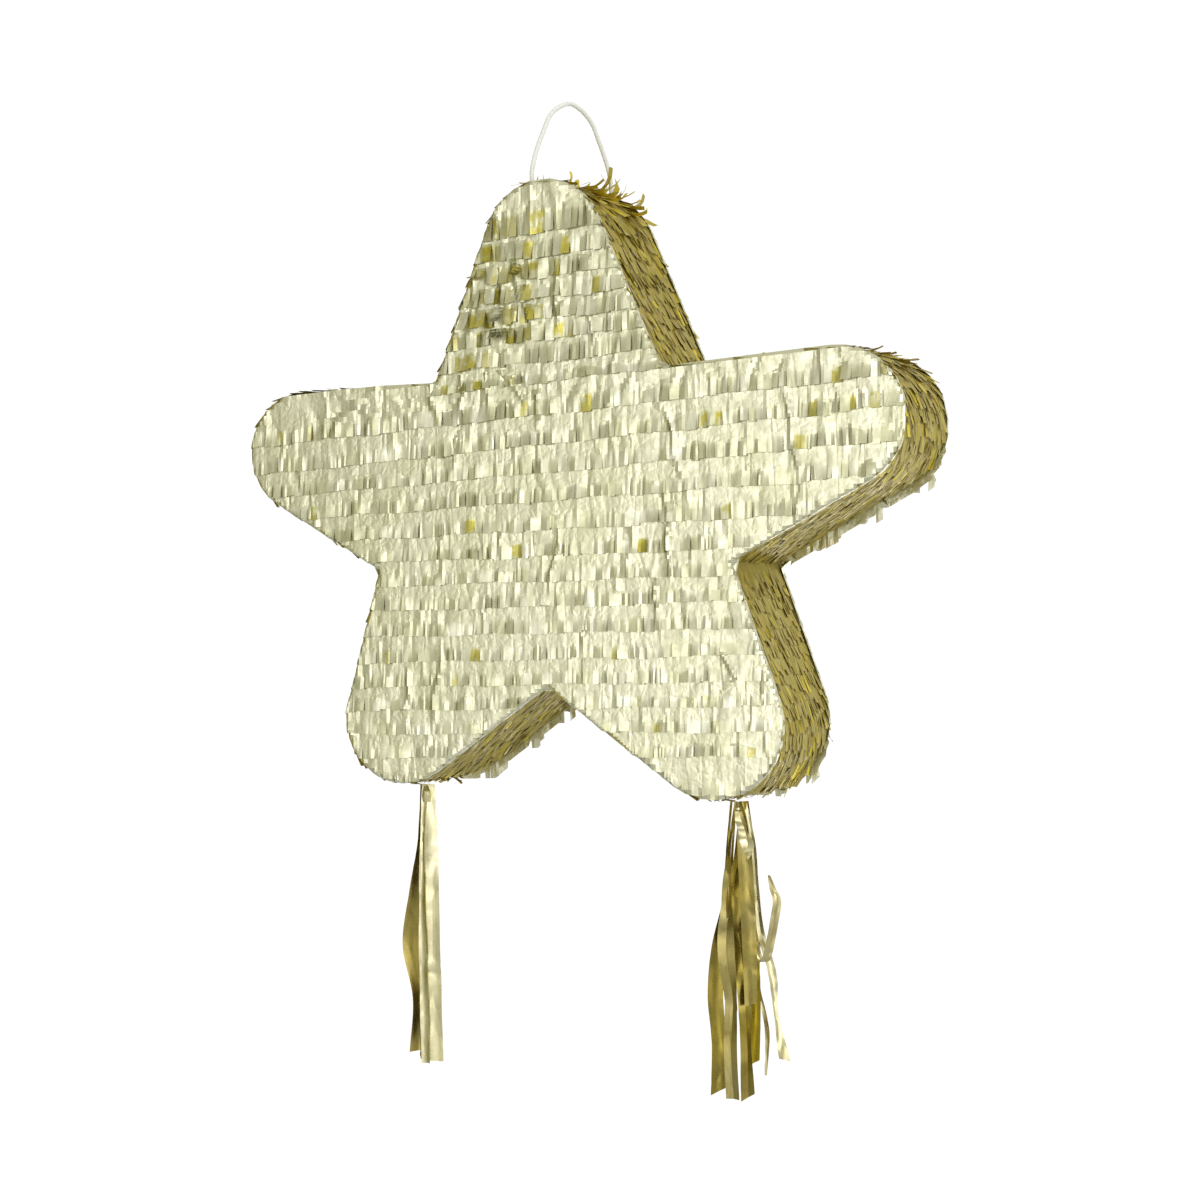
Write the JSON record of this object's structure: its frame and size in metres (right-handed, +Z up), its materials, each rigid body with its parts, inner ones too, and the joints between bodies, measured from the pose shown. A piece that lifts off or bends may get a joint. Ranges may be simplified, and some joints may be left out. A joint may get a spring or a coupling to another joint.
{
  "type": "star pinata",
  "caption": "Star-shaped party pinata covered in shingled gold foil fringe, hung from a cord loop, with foil tassels under its lower points and a fill flap in the back.",
  "frame": {"origin": "the underside of the cord loop at its top, where a hook carries the pinata", "axes": "+Z up, +X across the star to its right point as seen from the front, +Y from the front to the back"},
  "size_m": [0.3391, 0.072, 0.4831],
  "materials": {
    "face_foil": "champagne gold metallised foil, crinkled and slit into fringe",
    "side_foil": "gold metallised foil, crinkled and slit into fringe",
    "tassel_foil": "gold metallised foil streamer, creased",
    "cardboard": "plain brown",
    "white_cord": "twisted, matte",
    "slat_wood": "raw"
  },
  "bodies": {
    "cord": {"hanging_cord": "white_cord"},
    "star": {"back_fringe_body": "face_foil", "back_fringe_lower_left": "face_foil", "back_fringe_lower_right": "face_foil", "back_fringe_top": "face_foil", "back_panel": "cardboard", "cord_knot_back": "white_cord", "cord_knot_front": "white_cord", "front_fringe_01": "face_foil", "front_fringe_02": "face_foil", "front_fringe_03": "face_foil", "front_fringe_04": "face_foil", "front_fringe_05": "face_foil", "front_fringe_06": "face_foil", "front_fringe_07": "face_foil", "front_fringe_08": "face_foil", "front_fringe_09": "face_foil", "front_fringe_10": "face_foil", "front_fringe_11": "face_foil", "front_fringe_12": "face_foil", "front_fringe_13": "face_foil", "front_fringe_14": "face_foil", "front_fringe_15": "face_foil", "front_fringe_16": "face_foil", "front_fringe_17": "face_foil", "front_fringe_18": "face_foil", "front_fringe_19": "face_foil", "front_fringe_20": "face_foil", "front_fringe_21_left": "face_foil", "front_fringe_21_right": "face_foil", "front_fringe_22_left": "face_foil", "front_fringe_22_right": "face_foil", "front_fringe_23_left": "face_foil", "front_fringe_23_right": "face_foil", "front_panel": "cardboard", "hanging_slat": "slat_wood", "side_fringe_left": "side_foil", "side_fringe_lower_left": "side_foil", "side_fringe_lower_right": "side_foil", "side_fringe_right": "side_foil", "side_fringe_top": "side_foil", "side_wall_left": "cardboard", "side_wall_lower_left": "cardboard", "side_wall_lower_right": "cardboard", "side_wall_right": "cardboard", "side_wall_top": "cardboard", "tassel_left_tie": "tassel_foil", "tassel_right_tie": "tassel_foil"},
    "fill_flap": {"fill_flap": "cardboard", "fill_flap_fringe": "face_foil"},
    "tassel_left_neck": {"tassel_left_neck": "tassel_foil"},
    "tassel_left_streamers": {"tassel_left_streamer_1": "tassel_foil", "tassel_left_streamer_2": "tassel_foil", "tassel_left_streamer_3": "tassel_foil", "tassel_left_streamer_4": "tassel_foil"},
    "tassel_right_neck": {"tassel_right_neck": "tassel_foil"},
    "tassel_right_streamers": {"tassel_right_streamer_1": "tassel_foil", "tassel_right_streamer_2": "tassel_foil", "tassel_right_streamer_3": "tassel_foil", "tassel_right_streamer_4": "tassel_foil"}
  },
  "joints": [
    {"name": "star_swing", "type": "hinge", "parent": "cord", "child": "star", "pos_m": [0, 0, -0.0365], "axis": [0.2905, 0.9569, 0], "range_deg": [-75, 75]},
    {"name": "flap_fold", "type": "hinge", "parent": "star", "child": "fill_flap", "pos_m": [0, 0.03435, -0.168], "axis": [1, 0, 0], "range_deg": [0, 90]},
    {"name": "tassel_left_sway", "type": "hinge", "parent": "star", "child": "tassel_left_neck", "pos_m": [-0.086, 0, -0.3302], "axis": [0, 1, 0], "range_deg": [-60, 60]},
    {"name": "tassel_left_swing", "type": "hinge", "parent": "tassel_left_neck", "child": "tassel_left_streamers", "pos_m": [-0.086, 0, -0.3404], "axis": [1, 0, 0], "range_deg": [-60, 60]},
    {"name": "tassel_right_sway", "type": "hinge", "parent": "star", "child": "tassel_right_neck", "pos_m": [0.0805, 0, -0.3364], "axis": [0, 1, 0], "range_deg": [-60, 60]},
    {"name": "tassel_right_swing", "type": "hinge", "parent": "tassel_right_neck", "child": "tassel_right_streamers", "pos_m": [0.0805, 0, -0.3466], "axis": [1, 0, 0], "range_deg": [-60, 60]}
  ]
}
